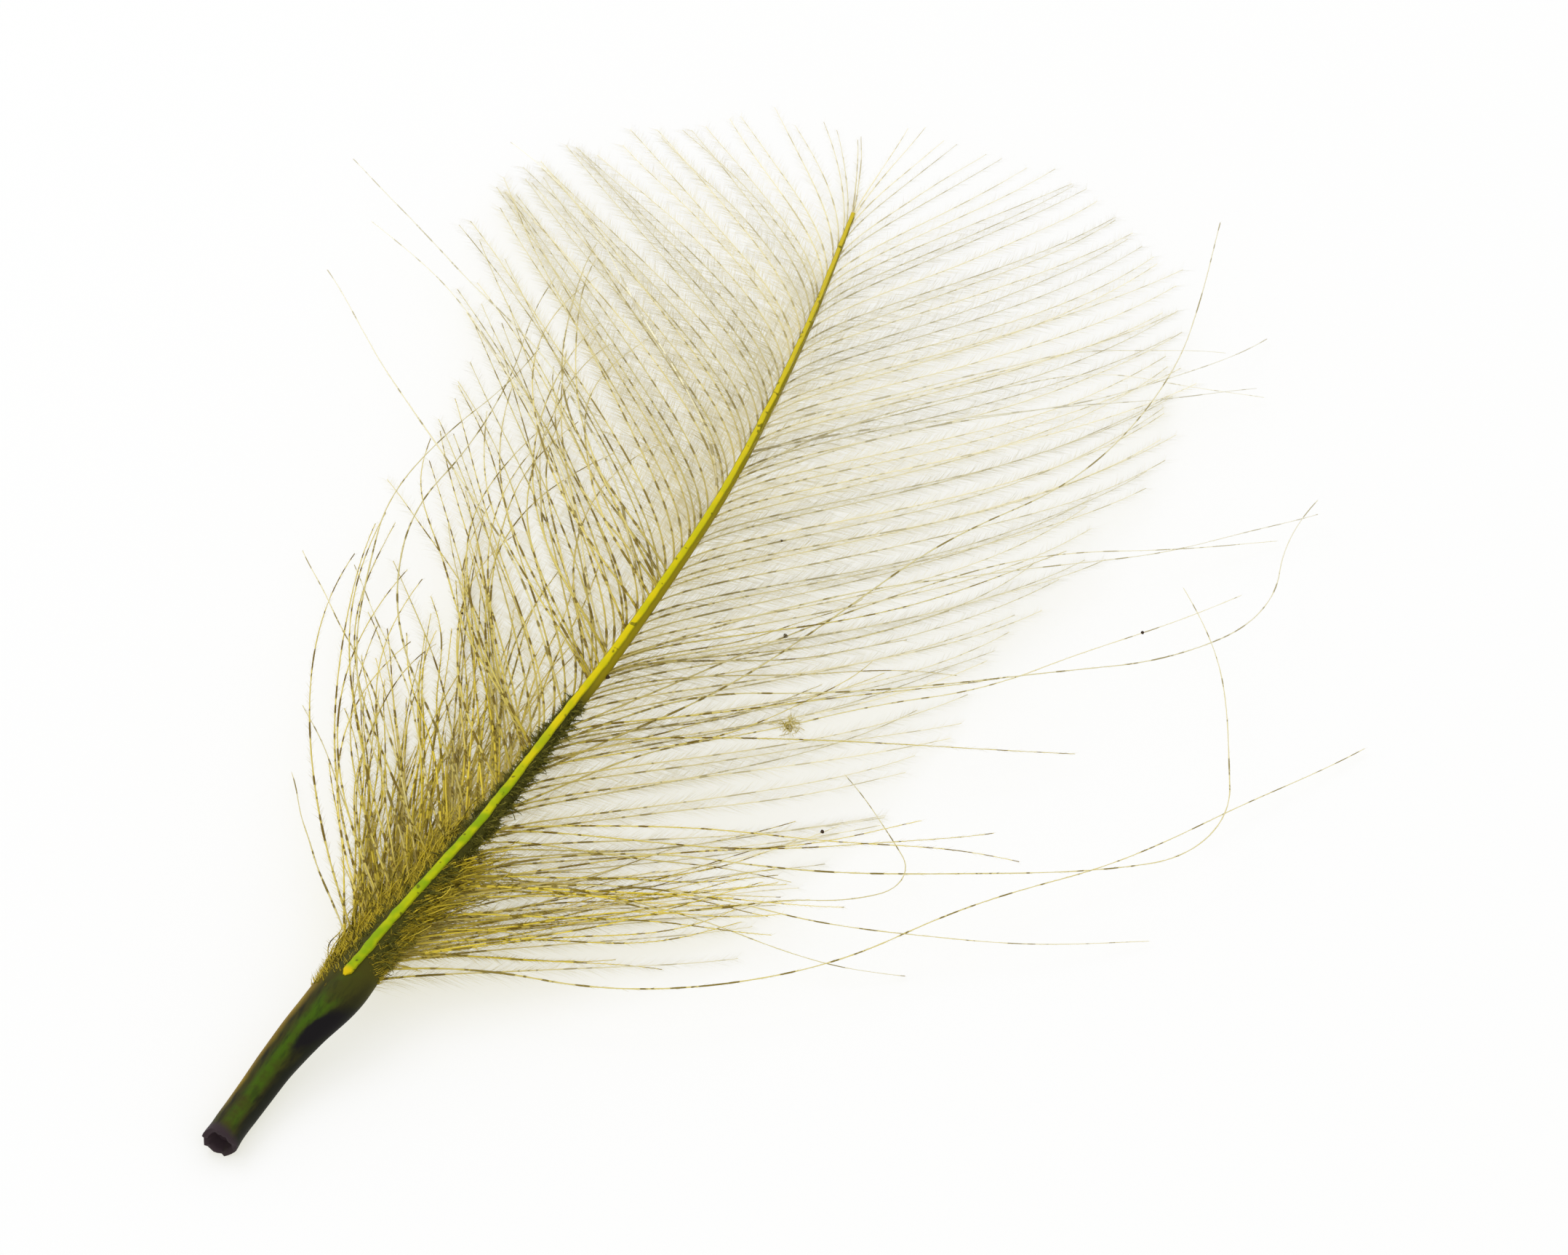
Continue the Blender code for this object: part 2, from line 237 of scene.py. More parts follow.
# Their swing in degrees, their waves, how thick they are beside the barbs of a vane, and how
# much further up the vane their colour is taken from.
STRAY_SWING = 3.0
STRAY_FEWEST_WAVES = 2.0
STRAY_MORE_WAVES = 2.0
STRAY_GIRTH = 0.9
STRAY_PALING = 0.25

# Loose barbs in fans. Each row is the side, the number of barbs, where they start and end
# on the shaft, their shortest and longest length, the same for their angle, and the same
# for how far they curl towards the tip.
NET_FANS = (
    (LEFT, 30, 7.0, 24.0, 12.0, 18.0, 48.0, 60.0, 25.0, 70.0),
    (RIGHT, 24, 7.0, 19.0, 9.0, 16.0, 36.0, 62.0, -16.0, 52.0),
)
TUFT_FANS = (
    (LEFT, 130, 5.5, 13.5, 5.0, 13.0, 18.0, 44.0, -6.0, 16.0),
    (RIGHT, 40, 6.4, 10.5, 2.0, 13.0, 38.0, 60.0, -6.0, 20.0),
)
FAN_HOOKS = {LEFT: (12.0, 0.8), RIGHT: (44.0, 0.9)}
FAN_CURL_POWER = 1.5

# The lowest barbs of a fan lie closest to the shaft, and over so many millimetres upwards
# they take up the fan's full width.
FAN_OPENING = {LEFT: 0.5, RIGHT: 3.0}
FAN_LEAST_WIDTH = 0.4

# Within a fan more barbs stand low than high and more are short than long, by these powers.
# Then the least and most of their swing, as a share, and of their waves, and how low their
# tips hang and over what height they spread.
FAN_LOWNESS = 1.3
FAN_SHORTNESS = 1.4
FAN_SWINGS = (0.3, 1.0)
FAN_WAVES = (0.7, 2.2)
FAN_LOWEST_TIP = 0.1
FAN_TIP_SPREAD = 1.6

# The swing in degrees of the loose barbs and of the tuft's, and how thick they are beside the
# barbs of a vane.
NET_SWING = 8.0
NET_GIRTH = 0.9
TUFT_SWING = 13.0
TUFT_GIRTH = 1.0

# The matted down that hides the foot of the vanes, rooted all over the shaft's flanks. Its fans
# have a least width and a power too. Then come the least and most of where it is rooted, from 0
# at the shaft's underside to 1 on top, of its swing in degrees, of its waves and of its tip's
# height as a share of its root's.
THATCH_FANS = (
    (LEFT, 420, 5.6, 11.5, 0.8, 3.4, 4.0, 36.0, -6.0, 40.0),
    (RIGHT, 440, 6.8, 11.0, 0.6, 2.6, 10.0, 58.0, -6.0, 40.0),
)
THATCH_LEAST_WIDTH = 0.3
THATCH_LOWNESS = 1.2
THATCH_LEVELS = (0.35, 0.99)
THATCH_SWINGS = (6.0, 36.0)
THATCH_WAVES = (0.8, 2.4)
THATCH_TIPS = (0.5, 1.05)
THATCH_LIFT = 0.05
THATCH_GIRTH = 0.62

# The dark fuzz that hugs the shaft above the tuft: where it starts and stops short, how many
# tufts of it stand on each flank, and the least and most of their length, of where they are
# rooted, of their lean and bend in degrees and of their rise as a share of their length.
FUZZ_START = 7.2
FUZZ_END = 17.7
FUZZ_TUFTS = 600
FUZZ_REACH = {LEFT: (0.08, 0.28), RIGHT: (0.08, 0.33)}
FUZZ_LEVELS = (0.3, 0.97)
FUZZ_LEANS = (-30.0, 80.0)
FUZZ_BENDS = (-80.0, 80.0)
FUZZ_RISES = (-0.35, 0.2)
FUZZ_GIRTH = 0.6

# The fuzz is longer in clumps: how many there are to the millimetre, how far apart in the noise
# the two flanks lie, how much longer the fuzz is in them, and its least share.
CLUMP_PACE = 0.9
CLUMP_FLANKS = 3.0
CLUMP_MEAN = 0.5
CLUMP_SPREAD = 0.9
CLUMP_LEAST = 0.6

# Dark crumbs stuck in the vanes and one ball of fluff: x, y and radius. Half a crumb's length
# and its lift off the barb are shares of its radius. A slope is the rise against the way in
# plan.
CRUMBS = (
    (6.07, 22.29, 0.085),
    (9.63, 17.64, 0.07),
    (14.85, 28.13, 0.06),
    (2.60, 17.90, 0.08),
    (-0.90, 24.60, 0.05),
    (4.60, 24.90, 0.05),
    (-3.40, 19.60, 0.05),
)
CRUMB_PROFILE = (0.25, 0.9, 1.0, 0.8, 0.3)
CRUMB_LENGTH = 0.8
CRUMB_LIFT = 0.4
CRUMB_SLOPE = 0.2
FLUFF = (7.39, 19.66, 0.20)
FLUFF_HAIRS = 22
FLUFF_BENDS = 6
FLUFF_RADIUS = 0.014
FLUFF_SLOPE = 0.5

# Seeds for the chance in the lines of each piece and of the fluff, and the first of the seeds
# for the barbules, which follow the order of the pieces.
LINE_SEEDS = {
    "left_barbs_low": 11,
    "left_barbs_high": 18,
    "right_barbs_low": 12,
    "right_barbs_high": 19,
    "stray_barbs": 13,
    "loose_barbs": 16,
    "down_tuft": 14,
    "down_thatch": 15,
    "shaft_fuzz": 17,
    "crumbs": 20,
    "fluff": 22,
}
BARBULE_SEED = 21

# The pieces made of barbs. Each row is the piece and its finish, how many sides its barbs have,
# the gap between its barbules, their length and width, how far they lean away from the barb
# and how far up or down they point.
BARB_PIECES = (
    ("left_barbs_low", "left_barbs", BARB_SIDES, 0.026, 1.2, 0.0036, 0.65, 0.25),
    ("left_barbs_high", "left_barbs", BARB_SIDES, 0.016, 1.3, 0.0042, 0.65, 0.25),
    ("right_barbs_low", "right_barbs", BARB_SIDES, 0.016, 1.2, 0.0032, 0.65, 0.25),
    ("right_barbs_high", "right_barbs", BARB_SIDES, 0.016, 1.2, 0.0032, 0.65, 0.25),
    ("stray_barbs", "stray_barbs", BARB_SIDES, 0.12, 0.3, 0.007, 0.3, 0.2),
    ("loose_barbs", "left_barbs", BARB_SIDES, 0.06, 0.5, 0.007, 0.5, 0.2),
    ("down_tuft", "down_barbs", BARB_SIDES, 0.055, 0.5, 0.010, 0.7, 0.4),
    ("down_thatch", "matted_down", FINE_SIDES, 0.07, 0.3, 0.012, 1.2, 0.8),
    ("shaft_fuzz", "dark_fuzz", FINE_SIDES, 0.04, 0.22, 0.014, 1.6, 1.0),
    ("crumbs", "crumbs", FINE_SIDES, 0.05, 0.05, 0.008, 1.0, 1.0),
)

# The least and most shares of a barbule's lean, length and width. It gets smaller towards its
# barb's tip, and more so on the last barbs of the feather.
BARBULE_LEANS = (0.6, 1.4)
BARBULE_LENGTHS = (0.5, 1.2)
BARBULE_WIDTHS = (0.7, 1.2)
BARBULE_SIDES = 3
TIP_SHRINK = 0.62
LAST_BARBS = (0.8, 1.0)
LAST_SHRINK = 0.6

# The barbs' finishes: the colours of a barb's root, its middle, its pale tip, its specks and its
# barbules, from 0 to 255 as a screen shows them. Then how speckled it is, how much it pales along
# its own length and towards the feather's tip, and between which sums of these two it pales.
BARB_FINISHES = {
    "left_barbs": ((182, 160, 36), (224, 206, 108), (240, 231, 188), (124, 102, 28),
                   (224, 208, 132), 0.8, (0.35, 0.9, 0.35, 1.0)),
    "right_barbs": ((164, 144, 28), (210, 190, 90), (240, 232, 194), (112, 94, 26),
                    (214, 198, 112), 0.7, (1.1, 0.75, 0.15, 0.95)),
    "stray_barbs": ((190, 170, 66), (224, 210, 140), (250, 246, 224), (138, 120, 52),
                    (226, 218, 160), 0.8, (0.5, 1.0, 0.5, 1.3)),
    "down_barbs": ((190, 166, 24), (230, 208, 70), (234, 218, 136), (134, 114, 28),
                   (220, 200, 84), 0.8, (0.6, 0.4, 0.4, 1.0)),
    "matted_down": ((92, 86, 18), (200, 178, 44), (226, 204, 80), (88, 78, 16),
                    (196, 172, 44), 0.9, (0.8, 0.0, 0.4, 1.0)),
    "dark_fuzz": ((78, 78, 20), (96, 94, 26), (126, 118, 44), (58, 56, 14),
                  (102, 98, 30), 1.0, (1.0, 0.0, 0.3, 1.0)),
    "crumbs": ((58, 38, 26), (64, 46, 28), (120, 108, 60), (44, 28, 22),
               (128, 116, 70), 0.5, (1.0, 0.0, 0.9, 1.1)),
}
BARB_ROUGHNESS = 0.6
BARB_GLOSS = 0.15

# The stretch of a barb, as shares of its length, over which its root's colour gives way.
ROOT_FADE = (0.0, 0.25)

# Specks show where a barb's knot and some fine grain add up to more than an edge, which is
# lower on a speckled barb. They fade on pale stretches and on barbules.
GRAIN_SCALE = 6.0
GRAIN_SHARE = 0.7
SPECK_EDGE = 0.66
SPECKLED_MORE = 0.10
SPECK_SOFTNESS = 0.12
SPECK_FADE = 0.65
BARBULE_SPECK_FADE = 0.8

# How bright the darkest barb is, and how much brighter the brightest is.
TONE_LEAST = 0.86
TONE_SPREAD = 0.28

# The colours, gloss and roughness of the shaft and the ridge.
QUILL_OLIVE = (54, 52, 14)
QUILL_UMBER = (34, 32, 12)
# The quill's green dye. Its bright green down the middle is partly a painted highlight.
QUILL_MOSS = (60, 62, 12)
QUILL_GREEN = (62, 90, 4)
QUILL_GREEN_STREAK = (34, 40, 10)
# A near black for the quill's right flank: painted shade on the side away from the light.
QUILL_PAINTED_SHADE = (24, 26, 12)
QUILL_AMBER = (140, 116, 20)
QUILL_BROWN = (96, 72, 14)
QUILL_BLACK = (19, 16, 18)
QUILL_CUT = (54, 42, 46)
UPPER_SHAFT = (66, 64, 12)
SHAFT_TOP = (146, 132, 10)
RIDGE_LIME = (136, 164, 0)
RIDGE_PALE_LIME = (184, 190, 0)
RIDGE_GOLD = (196, 188, 0)
RIDGE_PALE_GOLD = (216, 196, 2)
RIDGE_TIP = (204, 182, 44)
RIDGE_ORANGE = (214, 186, 4)
RIDGE_EDGE = (112, 112, 2)
RIDGE_FLECK = (76, 74, 8)
HORN_GLOSS = 0.1
QUILL_ROUGHNESS = 0.42
QUILL_ROUGHNESS_SPREAD = 0.25
RIDGE_ROUGHNESS = 0.55

# Where these colours change along the shaft: where each change starts and where it is complete.
CUT_ALONG = (0.05, 0.4)
AMBER_ALONG = (0.5, 1.6)
UPPER_ALONG = (5.2, 7.0)
TOP_ALONG = (17.0, 19.0)
RIDGE_FOOT_ALONG = (RIDGE_START + 0.15, RIDGE_START + 0.4)
RIDGE_GOLD_ALONG = (12.0, 18.0)
RIDGE_TIP_ALONG = (22.0, 40.0)

# The same across it, from -1 at the left flank to 1 at the right one.
# The green band down the quill's middle is its dye, brightest there as a painted highlight.
GREEN_HIGHLIGHT_MIDDLE = 0.2
GREEN_HIGHLIGHT_BAND = (0.15, 0.6)
# Where painted shade darkens the right flank, which faces away from the light.
PAINTED_SHADE_FLANK = (0.6, 0.95)
AMBER_FLANK = (0.45, 0.9)
RIDGE_FLANKS = (0.6, 1.1)

# The same in the noise, which runs from 0 to 1, and how fine the noise is.
QUILL_STREAKS = (0.4, 0.7)
GREEN_CLOUDS = (0.40, 0.60)
GREEN_STREAKS = (0.45, 0.75)
BROWN_STREAKS = (0.30, 0.42)
RIDGE_CLOUDS = (0.35, 0.65)
RIDGE_FLECKS = (0.66, 0.72)
QUILL_CLOUD_SCALE = 1.1
QUILL_STREAK_SCALE = (7.0, 1.3, 7.0)
RIDGE_CLOUD_SCALE = 1.6
RIDGE_FLECK_SCALE = 4.0

# The black blotch on the quill: its middle, how it slants, what its distance along and across
# is multiplied by, and where its edge starts and ends.
BLOTCH_ALONG = 4.5
BLOTCH_SIDE = 0.7
BLOTCH_SLANT = 0.16
BLOTCH_STRETCH = (0.5, 1.6)
BLOTCH_EDGE = (0.35, 0.62)

# The bumps on the quill's horn.
BUMP_STRENGTH = 0.35
BUMP_HEIGHT = 0.02

# The white floor, partly lit from within: its side, its colour and its glow.
FLOOR_SIZE = 2000.0
FLOOR_ROUGHNESS = 0.9
FLOOR_COLOUR = (0.32, 0.33, 0.42, 1.0)
FLOOR_GLOW = (1.0, 0.985, 0.835, 1.0)
FLOOR_GLOW_STRENGTH = 0.655

# The light: how bright the white is all round, then the soft square light, with its power in
# watts.
WORLD_STRENGTH = 0.92
LIGHT_AZIMUTH = 253.0
LIGHT_ELEVATION = 50.0
LIGHT_DISTANCE = 500.0
LIGHT_SIZE = 260.0
LIGHT_POWER = 0.48

# The camera, in the photograph's viewing direction, and the width that it frames.
CAMERA_AZIMUTH = 28.0
CAMERA_ELEVATION = 48.0
CAMERA_DISTANCE = 1000.0
CAMERA_NEAREST = 10.0
CAMERA_FURTHEST = 10000.0
FRAME_CENTRE = (5.57, 23.07, 2.0)
FRAME_WIDTH = 45.0
SENSOR_WIDTH = 36.0


class Wire:
    """A node's output, which can be added, multiplied and so on like a number."""

    def __init__(self, graph, socket):
        self.graph = graph
        self.socket = socket

    def other(self, name):
        """Another output of the same node."""
        return Wire(self.graph, find_socket(self.socket.node.outputs, name))

    def __add__(self, value):
        return self.graph.maths("ADD", self, value)

    def __radd__(self, value):
        return self.graph.maths("ADD", value, self)

    def __sub__(self, value):
        return self.graph.maths("SUBTRACT", self, value)

    def __rsub__(self, value):
        return self.graph.maths("SUBTRACT", value, self)

    def __mul__(self, value):
        return self.graph.maths("MULTIPLY", self, value)

    def __rmul__(self, value):
        return self.graph.maths("MULTIPLY", value, self)


def find_socket(sockets, key):
    """A socket by its number, its identifier or its name."""
    if isinstance(key, int):
        return sockets[key]
    for socket in sockets:
        if socket.identifier == key:
            return socket
    for socket in sockets:
        if socket.name == key and socket.enabled:
            return socket
    raise KeyError(key)


class Graph:
    """A node tree, for a material or for geometry, that is being written."""

    def __init__(self, tree):
        self.tree = tree

    def node(self, kind, settings=None, sockets=None, out=0):
        """Add a node, with its settings made first and then its sockets' values and links."""
        made = self.tree.nodes.new(kind)
        for name, value in (settings or {}).items():
            setattr(made, name, value)
        for key, value in (sockets or {}).items():
            self.feed(find_socket(made.inputs, key), value)
        if not made.outputs:
            return None
        return Wire(self, find_socket(made.outputs, out))

    def feed(self, socket, value):
        """Give a socket a value, a link or several links."""
        wires = value if isinstance(value, list) else [value]
        for wire in wires:
            if isinstance(wire, Wire):
                self.tree.links.new(wire.socket, socket)
            else:
                socket.default_value = wire

    def maths(self, operation, *values):
        """A sum on numbers."""
        return self.node("ShaderNodeMath", {"operation": operation}, dict(enumerate(values)))

    def vector(self, operation, *values, out=0):
        """A sum on vectors."""
        return self.node("ShaderNodeVectorMath", {"operation": operation}, dict(enumerate(values)), out)

    def rise(self, value, low, high):
        """0 below low, 1 above high, and smooth between them."""
        return self.node("ShaderNodeMapRange", {"interpolation_type": "SMOOTHSTEP"},
                         {"Value": value, "From Min": low, "From Max": high})

    def blend(self, share, first, second):
        """The first colour where share is 0 and the second where it is 1.

        A colour is a wire or the three values that a screen shows.
        """
        first, second = (srgb(*paint) if isinstance(paint, tuple) else paint for paint in (first, second))
        return self.node("ShaderNodeMix", {"data_type": "RGBA"},
                         {"Factor_Float": share, "A_Color": first, "B_Color": second}, "Result_Color")

    def stain(self, body, colour, value, limits):
        """Lay a colour over another where a value rises from one limit to the other."""
        return self.blend(self.rise(value, *limits), body, colour)

    def scale(self, vector, factor):
        """A colour or vector times a number."""
        return self.node("ShaderNodeVectorMath", {"operation": "SCALE"},
                         {"Vector": vector, "Scale": factor})

    def attribute(self, name):
        """A value that the piece's own mesh carries."""
        return self.node("ShaderNodeAttribute", {"attribute_name": name}, None, "Fac")

    def place(self):
        """Where a point is in the feather's own frame, in millimetres."""
        spot = self.node("ShaderNodeTexCoord", None, None, "Object")
        return self.vector("MULTIPLY", spot, (1 / MM, 1 / MM, 1 / MM))

    def mottle(self, place, scale, detail=2.0):
        """Soft cloudy noise from 0 to 1, with so many patches to the millimetre."""
        return self.node("ShaderNodeTexNoise", {"noise_dimensions": "3D"},
                         {"Vector": place, "Scale": scale, "Detail": detail}, "Fac")


def srgb(red, green, blue):
    """A colour as a shader takes it, from the 0 to 255 values that a screen shows."""
    values = []
    for value in (red, green, blue):
        share = value / 255
        values.append(share / 12.92 if share <= 0.04045 else ((share + 0.055) / 1.055) ** 2.4)
    return (*values, 1.0)


def new_finish(name, roughness, gloss):
    """A material with its Principled shader, and the graph to write in."""
    material = bpy.data.materials.new(name)
    material.use_nodes = True
    shader = material.node_tree.nodes["Principled BSDF"]
    shader.inputs["Roughness"].default_value = roughness
    shader.inputs["Specular IOR Level"].default_value = gloss
    return material, shader, Graph(material.node_tree)


def barb_finish(name, root, middle, tip, speck, barbule, speckled, fade):
    """Thin olive keratin: golden at the root, paler outwards, with dark specks along it."""
    material, shader, graph = new_finish(name, BARB_ROUGHNESS, BARB_GLOSS)
    place = graph.place()
    share = graph.attribute("share")
    foot = graph.attribute("foot")
    tone = graph.attribute("tone")
    outwards, upwards, low, high = fade
    pale = graph.rise(share * outwards + foot * upwards, low, high)
    body = graph.stain(root, middle, share, ROOT_FADE)
    body = graph.blend(pale, body, tip)
    grain = graph.mottle(place, GRAIN_SCALE, 1.0) - 0.5
    edge = SPECK_EDGE - SPECKLED_MORE * speckled
    knot = graph.attribute("knot") + grain * GRAIN_SHARE
    dark = graph.rise(knot, edge, edge + SPECK_SOFTNESS) * (1.0 - SPECK_FADE * pale)
    hair = graph.attribute("barbule")
    body = graph.blend(hair, body, graph.blend(pale, barbule, tip))
    body = graph.blend(dark * (1.0 - BARBULE_SPECK_FADE * hair), body, speck)
    body = graph.scale(body, tone * TONE_SPREAD + TONE_LEAST)
    graph.feed(shader.inputs["Base Color"], body)
    return material


def blotch_mask(graph, along, side, fray):
    """1 within the quill's black blotch, a slanting oval with a frayed edge."""
    upwards = along - BLOTCH_ALONG
    spot = graph.node("ShaderNodeCombineXYZ", None, {
        "X": upwards * BLOTCH_STRETCH[0],
        "Y": (side - BLOTCH_SIDE - upwards * BLOTCH_SLANT) * BLOTCH_STRETCH[1],
    })
    spread = graph.vector("LENGTH", spot, out="Value")
    return 1.0 - graph.rise(spread + fray * 0.6, *BLOTCH_EDGE)


def shaft_finish():
    """The quill: bottle green with a black blotch, an amber edge and a brown cut end.

    fray is the cloudy noise about 0, and a change of colour takes so much of it as its edge
    is to be uneven.
    """
    material, shader, graph = new_finish("quill_horn", QUILL_ROUGHNESS, HORN_GLOSS)
    place = graph.place()
    along = graph.attribute("along")
    side = graph.attribute("side")
    cloud = graph.mottle(place, QUILL_CLOUD_SCALE, 3.0)
    fray = cloud - 0.5
    streak = graph.mottle(graph.vector("MULTIPLY", place, QUILL_STREAK_SCALE), 1.0)
    body = graph.stain(QUILL_OLIVE, QUILL_UMBER, streak, QUILL_STREAKS)
    green = graph.stain(QUILL_MOSS, QUILL_GREEN, cloud, GREEN_CLOUDS)
    green = graph.blend(graph.rise(streak, *GREEN_STREAKS) * 0.5, green, QUILL_GREEN_STREAK)
    # The quill's green dye, kept to a band down its middle, is partly a painted highlight.
    body = graph.stain(green, body, graph.maths("ABSOLUTE", side - GREEN_HIGHLIGHT_MIDDLE) + fray * 0.6, GREEN_HIGHLIGHT_BAND)
    # Painted shade: the right flank, away from the light, is darkened towards near black.
    body = graph.stain(body, QUILL_PAINTED_SHADE, side + fray * 0.5, PAINTED_SHADE_FLANK)
    amber = graph.rise(0.0 - side + fray * 0.3, *AMBER_FLANK) * graph.rise(along, *AMBER_ALONG)
    body = graph.blend(amber * 0.9, body, QUILL_AMBER)
    brown = amber * graph.rise(streak + side * 0.2, *BROWN_STREAKS)
    body = graph.blend(brown * 0.5, body, QUILL_BROWN)
    body = graph.blend(blotch_mask(graph, along, side, fray), body, QUILL_BLACK)
    body = graph.stain(QUILL_CUT, body, along + fray * 0.3 + side * 0.12, CUT_ALONG)
    body = graph.stain(body, UPPER_SHAFT, along + fray * 2.0, UPPER_ALONG)
    body = graph.stain(body, SHAFT_TOP, along, TOP_ALONG)
    graph.feed(shader.inputs["Base Color"], body)
    graph.feed(shader.inputs["Roughness"], QUILL_ROUGHNESS + cloud * QUILL_ROUGHNESS_SPREAD)
    bump = graph.node("ShaderNodeBump", None, {
        "Strength": BUMP_STRENGTH,
        "Distance": BUMP_HEIGHT * MM,
        "Height": streak + cloud * 0.6,
    })
    graph.feed(shader.inputs["Normal"], bump)
    return material


def ridge_finish():
    """The ridge: orange at its very foot, then bright lime, then golden olive to the tip."""
    material, shader, graph = new_finish("ridge_horn", RIDGE_ROUGHNESS, HORN_GLOSS)
    place = graph.place()
    along = graph.attribute("along")
    side = graph.attribute("side")
    cloud = graph.mottle(place, RIDGE_CLOUD_SCALE)
    fray = cloud - 0.5
    lime = graph.stain(RIDGE_LIME, RIDGE_PALE_LIME, cloud, RIDGE_CLOUDS)
    gold = graph.stain(RIDGE_GOLD, RIDGE_PALE_GOLD, cloud, RIDGE_CLOUDS)
    colour = graph.stain(lime, gold, along + fray * 5.0, RIDGE_GOLD_ALONG)
    colour = graph.stain(colour, RIDGE_TIP, along, RIDGE_TIP_ALONG)
    colour = graph.stain(RIDGE_ORANGE, colour, along, RIDGE_FOOT_ALONG)
    edge = graph.rise(graph.maths("ABSOLUTE", side) + fray * 0.5, *RIDGE_FLANKS)
    colour = graph.blend(edge * 0.8, colour, RIDGE_EDGE)
    fleck = graph.rise(graph.mottle(place, RIDGE_FLECK_SCALE, 1.0), *RIDGE_FLECKS)
    colour = graph.blend(fleck * 0.7, colour, RIDGE_FLECK)
    graph.feed(shader.inputs["Base Color"], colour)
    return material


def spline(points, share):
    """A row on the smooth curve through points, share running from 0 to 1."""
    ends = np.vstack((2 * points[0] - points[1], points, 2 * points[-1] - points[-2]))
    spans = len(points) - 1
    place = share * spans
    index = min(int(place), spans - 1)
    t = place - index
    before, start, finish, after = ends[index:index + 4]
    bend = 2 * before - 5 * start + 4 * finish - after
    twist = 3 * start - before - 3 * finish + after
    return start + 0.5 * ((finish - before) * t + bend * t**2 + twist * t**3)


class Shaft:
    """The feather's shaft, asked for its place and section by distance from the cut end."""

    def __init__(self, stations):
        rows = np.array([spline(stations, k / CURVE_STEPS) for k in range(CURVE_STEPS + 1)])
        rows[:, 2] = np.maximum(rows[:, 2], 0.0)
        middles = np.column_stack((rows[:, 0], rows[:, 1], rows[:, 2] + rows[:, 4] / 2))
        steps = np.linalg.norm(np.diff(middles, axis=0), axis=1)
        self.rows = rows
        self.distances = np.concatenate(((0.0,), np.cumsum(steps)))
        self.length = self.distances[-1]

    def row(self, distance):
        """x, y, underside, width and height at a distance."""
        return np.array([np.interp(distance, self.distances, column) for column in self.rows.T])

    def middle(self, distance):
        """The middle of the section."""
        x, y, underside, _, height = self.row(distance)
        return np.array((x, y, underside + height / 2))

    def heading(self, distance):
        """The direction in plan in which the shaft runs on, in radians."""
        ahead = self.row(min(distance + HEADING_REACH, self.length))
        behind = self.row(max(distance - HEADING_REACH, 0.0))
        return math.atan2(ahead[1] - behind[1], ahead[0] - behind[0])

    def axes(self, distance):
        """Unit vectors forward and across to the right."""
        heading = self.heading(distance)
        forward = np.array((math.cos(heading), math.sin(heading), 0.0))
        across = np.array((math.sin(heading), -math.cos(heading), 0.0))
        return forward, across


def loft_piece(name, rings, material, marks):
    """A closed tube through rings of points, whose marks are named values, one list a ring."""
    bm = bmesh.new()
    layers = {mark: bm.verts.layers.float.new(mark) for mark in marks}
    loops = []
    for number, ring in enumerate(rings):
        loop = []
        for place, point in enumerate(ring):
            vert = bm.verts.new(point * MM)
            for mark, layer in layers.items():
                vert[layer] = marks[mark][number][place]
            loop.append(vert)
        loops.append(loop)
    for here, there in zip(loops, loops[1:]):
        for k in range(len(here)):
            after = (k + 1) % len(here)
            bm.faces.new((here[k], here[after], there[after], there[k]))
    bm.faces.new(reversed(loops[0]))
    bm.faces.new(loops[-1])
    bmesh.ops.recalc_face_normals(bm, faces=bm.faces)
    mesh = bpy.data.meshes.new(name)
    bm.to_mesh(mesh)
    bm.free()
    mesh.shade_smooth()
    mesh.set_sharp_from_angle(angle=math.radians(SHARP_ANGLE))
    mesh.materials.append(material)
    piece = bpy.data.objects.new(name, mesh)
    bpy.context.scene.collection.objects.link(piece)
    return piece


def ring_turns(sides, start=0.0):
    """The angles of the corners of a ring."""
    return [start + 2 * math.pi * k / sides for k in range(sides)]


def shaft_ring(shaft, distance, grow=1.0, ragged=0.0, inward=0.0):
    """A section of the shaft with its lumps and, at the cut, its jags."""
    x, y, underside, width, height = shaft.row(distance)
    forward, across = shaft.axes(distance)
    centre = np.array((x, y, underside + height / 2))
    collar = COLLAR_SWELL * max(0.0, 1.0 - distance / COLLAR_LENGTH)
    points = []
    for turn in ring_turns(SHAFT_SIDES, math.pi / SHAFT_SIDES):
        sine = math.sin(turn)
        cosine = math.cos(turn)
        lump = sum(high * noise.noise(Vector((distance * pace, sine * fine, cosine * fine)))
                   for high, pace, fine in SHAFT_LUMPS)
        jag = ragged * sum(weight * noise.noise(Vector((sine * fine, cosine * fine, spot)))
                           for weight, fine, spot in CUT_JAGS)
        swell = grow * (1.0 + collar + lump * min(1.0, width))
        point = centre + forward * (inward + jag) + across * swell * width / 2 * sine
        point[2] = max(point[2] - swell * height / 2 * cosine, 0.0)
        points.append(point)
    return points


def ring_marks(alongs, turns):
    """How far along the shaft each ring lies, and how far to the side each of its points lies."""
    return {
        "along": [[along] * len(turns) for along in alongs],
        "side": [[math.sin(turn) for turn in turns]] * len(alongs),
    }


def build_shaft(shaft):
    """The quill, its hollow cut end and the shaft up to the tip."""
    rings = [shaft_ring(shaft, 0.0, size, ragged, inward) for size, ragged, inward in CUT_RINGS]
    alongs = [0.0] * len(rings)
    count = int(shaft.length / SHAFT_RING_GAP)
    for k in range(1, count + 1):
        distance = shaft.length * k / count
        rings.append(shaft_ring(shaft, distance))
        alongs.append(distance)
    marks = ring_marks(alongs, ring_turns(SHAFT_SIDES, math.pi / SHAFT_SIDES))
    return loft_piece("shaft", rings, shaft_finish(), marks)


def ridge_width(shaft, distance):
    """The ridge's width, which thins towards the tip."""
    share = (distance - RIDGE_START) / (shaft.length - RIDGE_START)
    return RIDGE_WIDTH + (RIDGE_TIP_WIDTH - RIDGE_WIDTH) * max(share, 0.0) ** RIDGE_TAPER_POWER


